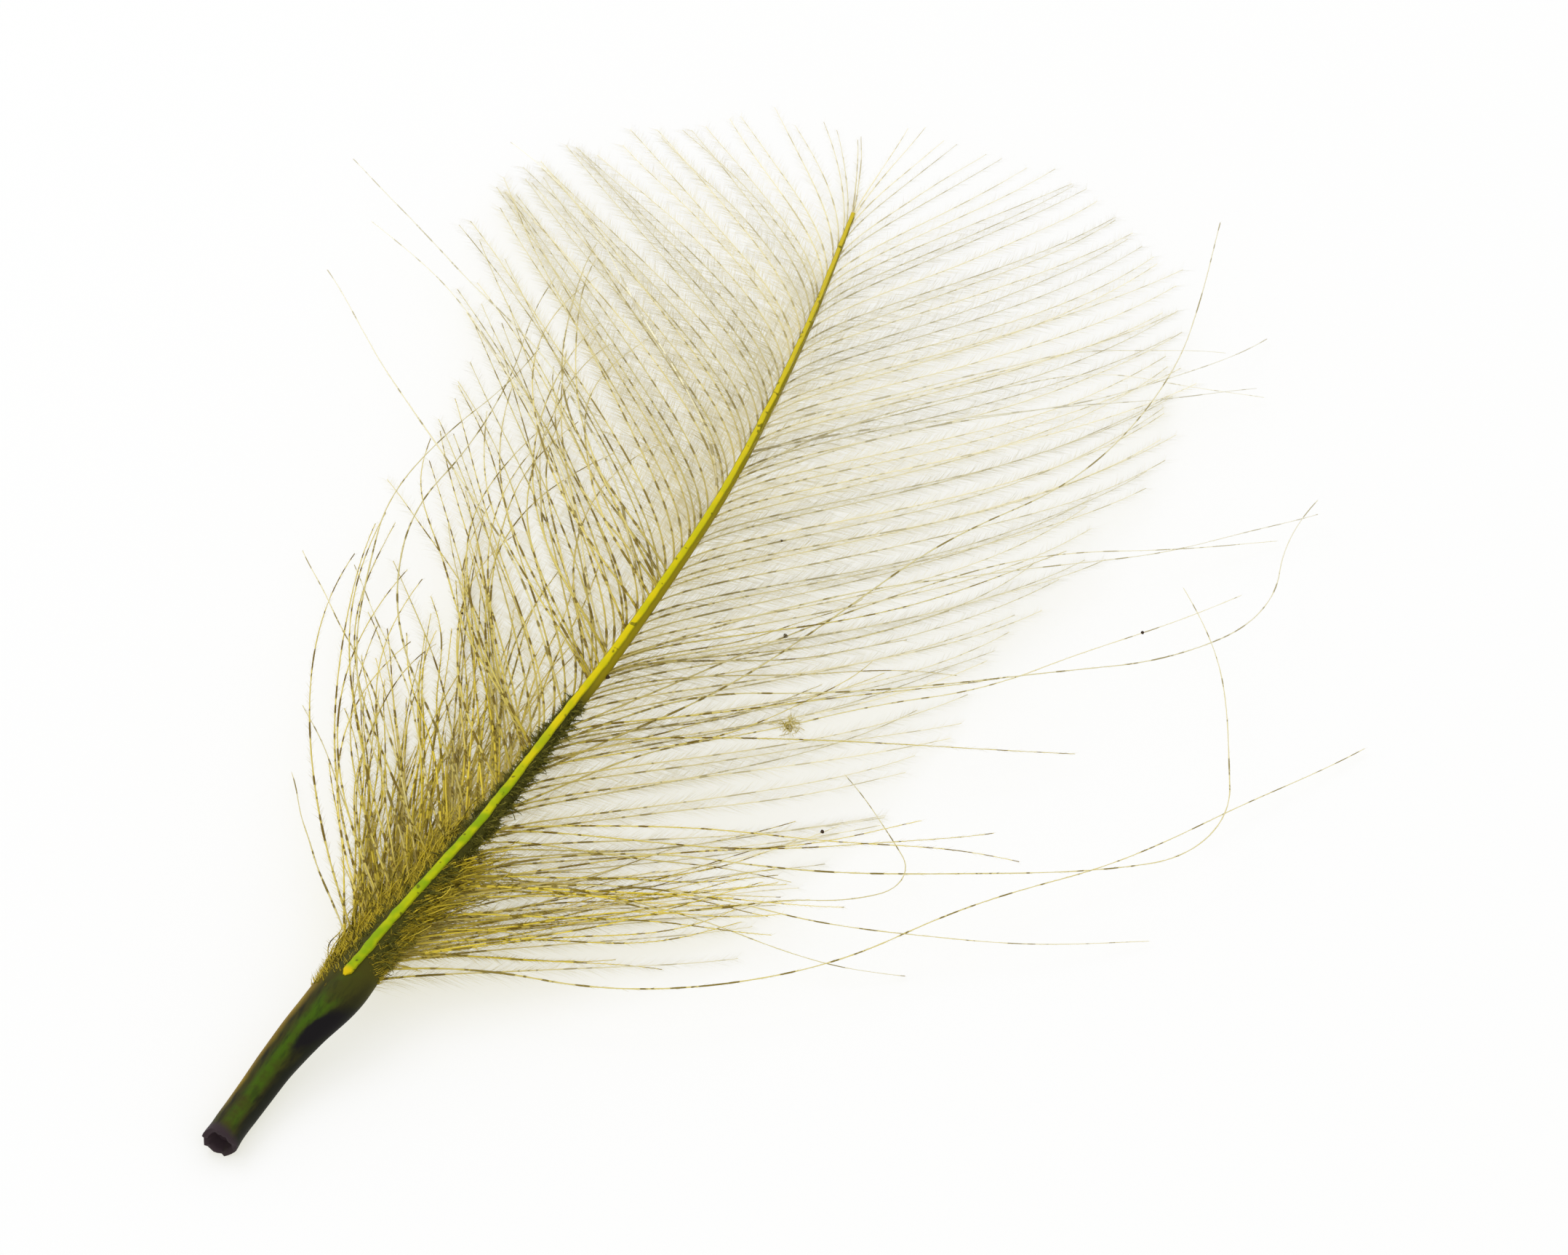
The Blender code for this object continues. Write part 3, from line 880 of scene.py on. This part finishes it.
def build_ridge(shaft):
    """The pale ridge, a thin rod half sunk in the top of the shaft."""
    rings = []
    alongs = []
    turns = ring_turns(RIDGE_SIDES)
    count = int((shaft.length - RIDGE_START) / RIDGE_RING_GAP)
    for k in range(count + 1):
        distance = RIDGE_START + (shaft.length + RIDGE_OVERHANG - RIDGE_START) * k / count
        x, y, underside, _, height = shaft.row(min(distance, shaft.length))
        _, across = shaft.axes(min(distance, shaft.length))
        from_start = distance - RIDGE_START
        rounding = math.sqrt(min(1.0, RIDGE_FOOT_SHARE + from_start / RIDGE_ROUNDING))
        width = ridge_width(shaft, distance) * rounding
        width *= 1.0 + RIDGE_UNEVEN * noise.noise(Vector((distance * RIDGE_UNEVEN_PACE, 0.0, 4.0)))
        sway = RIDGE_STRAY * noise.noise(Vector((distance * RIDGE_STRAY_PACE, 5.0, 0.0)))
        rise = RIDGE_RISE * width / RIDGE_WIDTH
        top = np.array((x, y, underside + height)) + across * sway
        ring = []
        for turn in turns:
            point = top + across * (width / 2) * math.sin(turn)
            point[2] += rise * (RIDGE_LIFT - (1.0 + RIDGE_LIFT) * math.cos(turn))
            ring.append(point)
        rings.append(ring)
        alongs.append(distance)
    return loft_piece("ridge", rings, ridge_finish(), ring_marks(alongs, turns))


class Guides:
    """Lines that barbs follow, each point with its radius and the values its colour needs."""

    MARKS = ("girth", "knot", "share", "foot", "tone")

    def __init__(self):
        self.lines = []
        self.points = []
        self.edges = []
        self.marks = {mark: [] for mark in self.MARKS}

    def add_line(self, line, *values):
        """Add a line, with a value of every mark at each of its points."""
        first = len(self.points)
        self.points.extend(line)
        self.edges.extend((first + k, first + k + 1) for k in range(len(line) - 1))
        for mark, value in zip(self.MARKS, values):
            self.marks[mark].extend(value)

    def add_barb(self, line, radius, tip_radius, foot, chance):
        """Add a barb that thins to its tip, has small dark knots and stays above the floor."""
        count = len(line)
        shares = np.linspace(0.0, 1.0, count)
        rough = chance.standard_normal(count + 1)
        knots = (KNOT_OWN * rough[1:] + KNOT_CARRIED * rough[:-1]).clip(-KNOT_LIMIT, KNOT_LIMIT)
        girth = radius + (tip_radius - radius) * shares ** BARB_TAPER_POWER
        girth = girth * (1.0 + KNOT_SWELL * knots)
        line[:, 2] = np.maximum(line[:, 2], girth + FLOOR_GAP)
        self.lines.append(line)
        self.add_line(line, girth, 0.5 + KNOT_DARK * knots, shares, [foot] * count,
                      [chance.random()] * count)

    def add_lump(self, line, girth):
        """Add a short dark thing of a given girth."""
        shares = np.linspace(0.0, 1.0, len(line))
        self.add_line(line, girth, shares, shares, shares, shares)

    def as_object(self, name):
        """The lines as an object of loose edges."""
        mesh = bpy.data.meshes.new(name)
        mesh.from_pydata([tuple(point * MM) for point in self.points], self.edges, [])
        for mark, values in self.marks.items():
            layer = mesh.attributes.new(mark, "FLOAT", "POINT")
            scale = MM if mark == "girth" else 1.0
            layer.data.foreach_set("value", np.array(values, dtype=np.float32) * scale)
        guide = bpy.data.objects.new(name, mesh)
        bpy.context.scene.collection.objects.link(guide)
        return guide


def flank_point(shaft, side, distance, level):
    """A point on the shaft's skin, level running from 0 at its underside to 1 on top."""
    x, y, underside, width, height = shaft.row(distance)
    _, across = shaft.axes(distance)
    turn = math.acos(1.0 - 2.0 * level)
    return np.array((x, y, underside + height * level)) + across * side * width / 2 * math.sin(turn)


def hooked(angle, hook, reach, curl, power, length):
    """The angle off the shaft by the share of a barb's length: first a hook, then a curl."""

    def angle_at(part):
        return angle - hook * math.exp(-part * length / reach) - curl * part**power

    return angle_at


def barb_line(shaft, side, distance, length, angle_at, tip_height, wobble=(0.0, 1.0, 0.0), root=None):
    """Points out along a barb. wobble is its swing in degrees, its waves and their start."""
    if root is None:
        root = shaft.middle(distance)
    along = shaft.heading(distance)
    count = max(int(length / PATH_STEP), FEWEST_STEPS)
    step = length / count
    swing, waves, start = wobble
    place = root[:2].copy()
    points = [root]
    for k in range(count):
        part = (k + 0.5) / count
        angle = angle_at(part) + swing * part * math.sin(2 * math.pi * (waves * part + start))
        heading = along - side * math.radians(angle)
        place = place + step * np.array((math.cos(heading), math.sin(heading)))
        fall = ((k + 1) / count) ** DROOP_POWER
        points.append(np.array((*place, root[2] + (tip_height - root[2]) * fall)))
    return np.array(points)


def resampled(line, shares, places):
    """A line's points at other shares of its length than those that it has."""
    return np.column_stack([np.interp(places, shares, column) for column in line.T])


def gather(lines, chance, most):
    """Draw neighbouring barbs together in small bunches towards their tips."""
    drawn = []
    first = 0
    shares = np.linspace(0.0, 1.0, BUNCH_STEPS)
    while first < len(lines):
        size = int(chance.integers(FEWEST_IN_BUNCH, MOST_IN_BUNCH + 1))
        bunch = lines[first:first + size]
        pull = most * chance.random()
        mean = np.mean([resampled(line, np.linspace(0.0, 1.0, len(line)), shares) for line in bunch],
                       axis=0)
        for line in bunch:
            own = np.linspace(0.0, 1.0, len(line))
            weight = (pull * own ** BUNCH_POWER)[:, None]
            drawn.append(line + (resampled(mean, shares, own) - line) * weight)
        first += size
    return drawn


def vane_guides(shaft, side, table, numbers, unrest, bunching, chance):
    """Some barbs of one vane by their numbers, evenly rooted but each with its own bend.

    unrest is how many degrees a barb's bend strays from its neighbours' at the foot of the
    vane. The barbs lie in better order towards the tip. bunching is how far neighbours are
    drawn together at most.
    """
    lines = []
    feet = []
    full_hook, reach = HOOKS[side]
    for k in numbers:
        share = (k + 0.5 + ROOT_SCATTER * chance.uniform(-1.0, 1.0)) / BARBS_A_SIDE
        loose = unrest * max(1.0 - ORDER_GAIN * share, LEAST_UNREST)
        length, angle, curl, tip = (np.interp(share, table[:, 0], column) for column in table.T[1:])
        length *= 1.0 + LENGTH_UNREST * loose * chance.standard_normal()
        angle += ANGLE_UNREST * loose * chance.standard_normal()
        curl += loose * chance.standard_normal()
        tip += TIP_SCATTER * chance.random() ** 2
        hook = min(full_hook, HOOK_MOST * angle)
        angle_at = hooked(angle, hook, reach, curl, CURL_POWER, length)
        swing = SWING_UNREST * loose * chance.random()
        wobble = (swing, FEWEST_WAVES + MORE_WAVES * chance.random(), chance.random())
        distance = VANE_START + share * (shaft.length - VANE_START)
        lines.append(barb_line(shaft, side, distance, length, angle_at, tip, wobble))
        feet.append(share)
    guides = Guides()
    for line, foot in zip(gather(lines, chance, bunching), feet):
        size = 1.0 - VANE_THINNING * foot
        guides.add_barb(line, BARB_RADIUS * size, BARB_TIP_RADIUS * size, foot, chance)
    return guides


def stray_guides(shaft, chance):
    """The single barbs that stand clear of the vanes."""
    guides = Guides()
    for side, share, length, angles, tip in STRAY_BARBS:
        marks = np.linspace(0.0, 1.0, len(angles))

        def angle_at(part, angles=angles, marks=marks):
            return np.interp(part, marks, angles)

        distance = VANE_START + share * (shaft.length - VANE_START)
        waves = STRAY_FEWEST_WAVES + STRAY_MORE_WAVES * chance.random()
        wobble = (STRAY_SWING, waves, chance.random())
        line = barb_line(shaft, side, distance, length, angle_at, tip, wobble)
        guides.add_barb(line, BARB_RADIUS * STRAY_GIRTH, BARB_TIP_RADIUS, share + STRAY_PALING, chance)
    return guides


def fan_guides(shaft, fans, swing, girth, chance):
    """Wavy barbs in fans, lying over one another."""
    guides = Guides()
    for side, number, start, end, shortest, longest, narrow, wide, back, forth in fans:
        hook, reach = FAN_HOOKS[side]
        for _ in range(number):
            share = chance.random() ** FAN_LOWNESS
            distance = start + (end - start) * share
            length = shortest + (longest - shortest) * chance.random() ** FAN_SHORTNESS
            spread = min(FAN_LEAST_WIDTH + (distance - start) / FAN_OPENING[side], 1.0)
            angle = narrow + (wide - narrow) * spread * chance.random()
            curl = chance.uniform(back, forth)
            angle_at = hooked(angle, hook, reach, curl, FAN_CURL_POWER, length)
            wobble = (swing * chance.uniform(*FAN_SWINGS), chance.uniform(*FAN_WAVES), chance.random())
            tip = FAN_LOWEST_TIP + FAN_TIP_SPREAD * chance.random()
            line = barb_line(shaft, side, distance, length, angle_at, tip, wobble)
            foot = (distance - VANE_START) / (shaft.length - VANE_START)
            guides.add_barb(line, BARB_RADIUS * girth, BARB_TIP_RADIUS, max(foot, 0.0), chance)
    return guides


def thatch_guides(shaft, chance):
    """Short matted barbs, rooted all over the flanks beside the ridge."""
    guides = Guides()
    for side, number, start, end, shortest, longest, narrow, wide, back, forth in THATCH_FANS:
        hook, reach = FAN_HOOKS[side]
        for _ in range(number):
            distance = start + (end - start) * chance.random() ** THATCH_LOWNESS
            root = flank_point(shaft, side, distance, chance.uniform(*THATCH_LEVELS))
            length = chance.uniform(shortest, longest)
            spread = min(THATCH_LEAST_WIDTH + (distance - start) / FAN_OPENING[side], 1.0)
            angle = narrow + (wide - narrow) * spread * chance.random()
            curl = chance.uniform(back, forth)
            angle_at = hooked(angle, hook, reach, curl, FAN_CURL_POWER, length)
            wobble = (chance.uniform(*THATCH_SWINGS), chance.uniform(*THATCH_WAVES), chance.random())
            tip = root[2] * chance.uniform(*THATCH_TIPS) + THATCH_LIFT
            line = barb_line(shaft, side, distance, length, angle_at, tip, wobble, root)
            guides.add_barb(line, BARB_RADIUS * THATCH_GIRTH, BARB_TIP_RADIUS, 0.0, chance)
    return guides


def fuzz_guides(shaft, chance):
    """Little crooked tufts of dark fuzz along both flanks of the shaft."""
    guides = Guides()
    for side in (LEFT, RIGHT):
        for _ in range(FUZZ_TUFTS):
            distance = chance.uniform(FUZZ_START, FUZZ_END)
            patch = Vector((distance * CLUMP_PACE, side * CLUMP_FLANKS, 0.0))
            clump = CLUMP_MEAN + CLUMP_SPREAD * noise.noise(patch)
            length = chance.uniform(*FUZZ_REACH[side]) * (CLUMP_LEAST + max(clump, 0.0))
            root = flank_point(shaft, side, distance, chance.uniform(*FUZZ_LEVELS))
            lean = chance.uniform(*FUZZ_LEANS)
            bend = chance.uniform(*FUZZ_BENDS)

            def angle_at(part, lean=lean, bend=bend):
                return lean + bend * part

            tip = root[2] + chance.uniform(*FUZZ_RISES) * length
            line = barb_line(shaft, side, distance, length, angle_at, tip, root=root)
            guides.add_barb(line, BARB_RADIUS * FUZZ_GIRTH, BARB_TIP_RADIUS, 0.0, chance)
    return guides


def nearest_point(lines, x, y):
    """The point of all lines that is nearest to a place in plan."""
    every = np.concatenate(lines)
    return every[np.argmin(np.hypot(every[:, 0] - x, every[:, 1] - y))]


def crumb_guides(lines, chance):
    """Dark crumbs, each stuck to the barb nearest to it."""
    guides = Guides()
    for x, y, size in CRUMBS:
        middle = nearest_point(lines, x, y) + np.array((0.0, 0.0, CRUMB_LIFT * size))
        along = chance.standard_normal(3) * (1.0, 1.0, CRUMB_SLOPE)
        along *= CRUMB_LENGTH * size / np.linalg.norm(along)
        lump = middle + np.linspace(-1.0, 1.0, len(CRUMB_PROFILE))[:, None] * along
        guides.add_lump(lump, size * np.array(CRUMB_PROFILE))
    return guides


def add_fluff(guides, lines, chance):
    """A little ball of crooked hairs around a barb."""
    x, y, size = FLUFF
    middle = nearest_point(lines, x, y)
    for _ in range(FLUFF_HAIRS):
        steps = chance.standard_normal((FLUFF_BENDS, 3)) * (1.0, 1.0, FLUFF_SLOPE)
        hair = middle + np.cumsum(steps, axis=0) * size / math.sqrt(FLUFF_BENDS)
        hair[:, 2] = np.maximum(hair[:, 2], 2 * FLUFF_RADIUS)
        guides.add_lump(hair, np.full(FLUFF_BENDS, FLUFF_RADIUS))


def chance_for(name):
    """The random numbers for the lines of a piece."""
    return np.random.default_rng(LINE_SEEDS[name])


def barb_guides(shaft):
    """The lines of every piece that is made of barbs, by its name."""
    guides = {name: vane_guides(shaft, *row, chance_for(name)) for name, row in VANE_PARTS.items()}
    guides["stray_barbs"] = stray_guides(shaft, chance_for("stray_barbs"))
    barbs = [line for part in guides.values() for line in part.lines]
    net = fan_guides(shaft, NET_FANS, NET_SWING, NET_GIRTH, chance_for("loose_barbs"))
    add_fluff(net, barbs, chance_for("fluff"))
    guides["loose_barbs"] = net
    guides["down_tuft"] = fan_guides(shaft, TUFT_FANS, TUFT_SWING, TUFT_GIRTH, chance_for("down_tuft"))
    guides["down_thatch"] = thatch_guides(shaft, chance_for("down_thatch"))
    guides["shaft_fuzz"] = fuzz_guides(shaft, chance_for("shaft_fuzz"))
    guides["crumbs"] = crumb_guides(barbs, chance_for("crumbs"))
    return guides


def new_tree(name, inputs):
    """A geometry tree with named inputs, its graph and its inputs' wires."""
    tree = bpy.data.node_groups.new(name, "GeometryNodeTree")
    tree.interface.new_socket("Geometry", in_out="INPUT", socket_type="NodeSocketGeometry")
    tree.interface.new_socket("Geometry", in_out="OUTPUT", socket_type="NodeSocketGeometry")
    for label, kind in inputs:
        tree.interface.new_socket(label, in_out="INPUT", socket_type=kind)
    graph = Graph(tree)
    entry = graph.node("NodeGroupInput")
    labels = ["Geometry"] + [label for label, _ in inputs]
    return tree, graph, {label: entry.other(label) for label in labels}


def barb_tree():
    """Lines become round tapering barbs, with fine pointed barbules along both sides."""
    tree, graph, given = new_tree("barbs", (
        ("Sides", "NodeSocketInt"),
        ("Barbule gap", "NodeSocketFloat"),
        ("Barbule length", "NodeSocketFloat"),
        ("Barbule width", "NodeSocketFloat"),
        ("Barbule lean", "NodeSocketFloat"),
        ("Barbule lift", "NodeSocketFloat"),
        ("Seed", "NodeSocketInt"),
        ("Material", "NodeSocketMaterial"),
    ))

    def named(mark):
        return graph.node("GeometryNodeInputNamedAttribute", {"data_type": "FLOAT"}, {"Name": mark})

    def chance(low, high, offset):
        return graph.node("FunctionNodeRandomValue", {"data_type": "FLOAT"},
                          {"Min_001": low, "Max_001": high, "Seed": given["Seed"] + offset}, "Value_001")

    lines = graph.node("GeometryNodeMeshToCurve", None, {"Mesh": given["Geometry"]})
    ring = graph.node("GeometryNodeCurvePrimitiveCircle", {"mode": "RADIUS"},
                      {"Resolution": given["Sides"], "Radius": 1.0})
    tubes = graph.node("GeometryNodeCurveToMesh", None,
                       {"Curve": lines, "Profile Curve": ring, "Scale": named("girth"), "Fill Caps": True})
    dots = graph.node("GeometryNodeCurveToPoints", {"mode": "LENGTH"},
                      {"Curve": lines, "Length": given["Barbule gap"]})
    forward = dots.other("Tangent")
    across = graph.vector("NORMALIZE", graph.vector("CROSS_PRODUCT", forward, (0.0, 0.0, 1.0)))
    side = graph.maths("SIGN", chance(-1.0, 1.0, 1))
    lean = given["Barbule lean"] * chance(*BARBULE_LEANS, 2)
    aim = graph.vector("ADD", forward, graph.scale(across, lean * side))
    lift = given["Barbule lift"] * chance(-1.0, 1.0, 3)
    up = graph.node("ShaderNodeCombineXYZ", None, {"Z": lift})
    aim = graph.vector("ADD", aim, up)
    turn = graph.node("FunctionNodeAlignRotationToVector", {"axis": "Z"}, {"Vector": aim})
    spike = graph.node("GeometryNodeMeshCone", {"fill_type": "NONE"},
                       {"Vertices": BARBULE_SIDES, "Side Segments": 1, "Radius Top": 0.0,
                        "Radius Bottom": 1.0, "Depth": 1.0})
    spike = graph.node("GeometryNodeStoreNamedAttribute", {"data_type": "FLOAT", "domain": "POINT"},
                       {"Geometry": spike, "Name": "barbule", "Value": 1.0})
    last = graph.rise(named("foot"), *LAST_BARBS)
    taper = (1.0 - TIP_SHRINK * named("share")) * (1.0 - LAST_SHRINK * last)
    long = given["Barbule length"] * chance(*BARBULE_LENGTHS, 4) * taper
    wide = given["Barbule width"] * chance(*BARBULE_WIDTHS, 5) * taper
    size = graph.node("ShaderNodeCombineXYZ", None, {"X": wide, "Y": wide, "Z": long})
    spikes = graph.node("GeometryNodeInstanceOnPoints", None,
                        {"Points": dots, "Instance": spike, "Rotation": turn, "Scale": size})
    both = graph.node("GeometryNodeJoinGeometry", None, {"Geometry": [tubes, spikes]})
    real = graph.node("GeometryNodeRealizeInstances", None, {"Geometry": both})
    smooth = graph.node("GeometryNodeSetShadeSmooth", None, {"Geometry": real, "Shade Smooth": True})
    done = graph.node("GeometryNodeSetMaterial", None, {"Geometry": smooth, "Material": given["Material"]})
    graph.node("NodeGroupOutput", None, {"Geometry": done})
    return tree


def grow(name, guides, tree, values):
    """Run a tree on guide lines and keep what it makes as a plain piece."""
    guide = guides.as_object(name + "_guide")
    grower = guide.modifiers.new("grower", "NODES")
    grower.node_group = tree
    for item in tree.interface.items_tree:
        if item.name in values:
            grower[item.identifier] = values[item.name]
    bpy.context.view_layer.update()
    ready = guide.evaluated_get(bpy.context.evaluated_depsgraph_get())
    mesh = bpy.data.meshes.new_from_object(ready)
    mesh.name = name
    bpy.data.objects.remove(guide)
    piece = bpy.data.objects.new(name, mesh)
    bpy.context.scene.collection.objects.link(piece)
    return piece


def barb_values(material, seed, sides, gap, length, width, lean, lift):
    """The tree's inputs, in metres."""
    return {
        "Sides": sides,
        "Barbule gap": gap * MM,
        "Barbule length": length * MM,
        "Barbule width": width * MM,
        "Barbule lean": lean,
        "Barbule lift": lift,
        "Seed": seed,
        "Material": material,
    }


def place_piece(piece):
    """Every piece rides on the feather's one body and stands for its solid."""
    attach(piece, "root")
    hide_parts("feather")


def build_feather():
    """All the pieces of the feather."""
    shaft = Shaft(SHAFT_STATIONS)
    tree = barb_tree()
    finishes = {name: barb_finish(name, *row) for name, row in BARB_FINISHES.items()}
    place_piece(build_shaft(shaft))
    place_piece(build_ridge(shaft))
    guides = barb_guides(shaft)
    for number, (name, finish, *barbules) in enumerate(BARB_PIECES):
        values = barb_values(finishes[finish], BARBULE_SEED + number, *barbules)
        place_piece(grow(name, guides[name], tree, values))


def build_floor():
    """A plain white floor that the feather lies on."""
    bpy.ops.mesh.primitive_plane_add(size=FLOOR_SIZE * MM)
    floor = bpy.context.object
    floor.name = "floor"
    material, shader, _ = new_finish("white_paper", FLOOR_ROUGHNESS, 0.0)
    shader.inputs["Base Color"].default_value = FLOOR_COLOUR
    shader.inputs["Emission Color"].default_value = FLOOR_GLOW
    shader.inputs["Emission Strength"].default_value = FLOOR_GLOW_STRENGTH
    floor.data.materials.append(material)


def aimed(name, data, azimuth, elevation, distance):
    """A camera or a light that looks at the feather from a direction and a distance."""
    turn = math.radians(azimuth)
    rise = math.radians(elevation)
    away = Vector((math.sin(turn) * math.cos(rise), -math.cos(turn) * math.cos(rise), math.sin(rise)))
    made = bpy.data.objects.new(name, data)
    made.location = Vector(FRAME_CENTRE) * MM + away * distance * MM
    made.rotation_euler = away.to_track_quat("Z", "Y").to_euler()
    bpy.context.scene.collection.objects.link(made)
    return made


def build_camera():
    """A long lens at the photograph's viewing angle, framing the whole feather."""
    data = bpy.data.cameras.new("camera")
    data.sensor_width = SENSOR_WIDTH
    data.lens = SENSOR_WIDTH * CAMERA_DISTANCE / FRAME_WIDTH
    data.clip_start = CAMERA_NEAREST * MM
    data.clip_end = CAMERA_FURTHEST * MM
    camera = aimed("camera", data, CAMERA_AZIMUTH, CAMERA_ELEVATION, CAMERA_DISTANCE)
    bpy.context.scene.camera = camera


def build_light():
    """White all round, with one soft light from the upper left of the picture."""
    world = bpy.data.worlds.new("white")
    bpy.context.scene.world = world
    world.use_nodes = True
    background = world.node_tree.nodes["Background"]
    background.inputs["Color"].default_value = (1.0, 1.0, 1.0, 1.0)
    background.inputs["Strength"].default_value = WORLD_STRENGTH
    lamp = bpy.data.lights.new("key", "AREA")
    lamp.shape = "SQUARE"
    lamp.size = LIGHT_SIZE * MM
    lamp.energy = LIGHT_POWER
    aimed("key", lamp, LIGHT_AZIMUTH, LIGHT_ELEVATION, LIGHT_DISTANCE)
    bpy.context.scene.view_settings.view_transform = "Standard"


build_camera()
build_light()
build_floor()
build_feather()
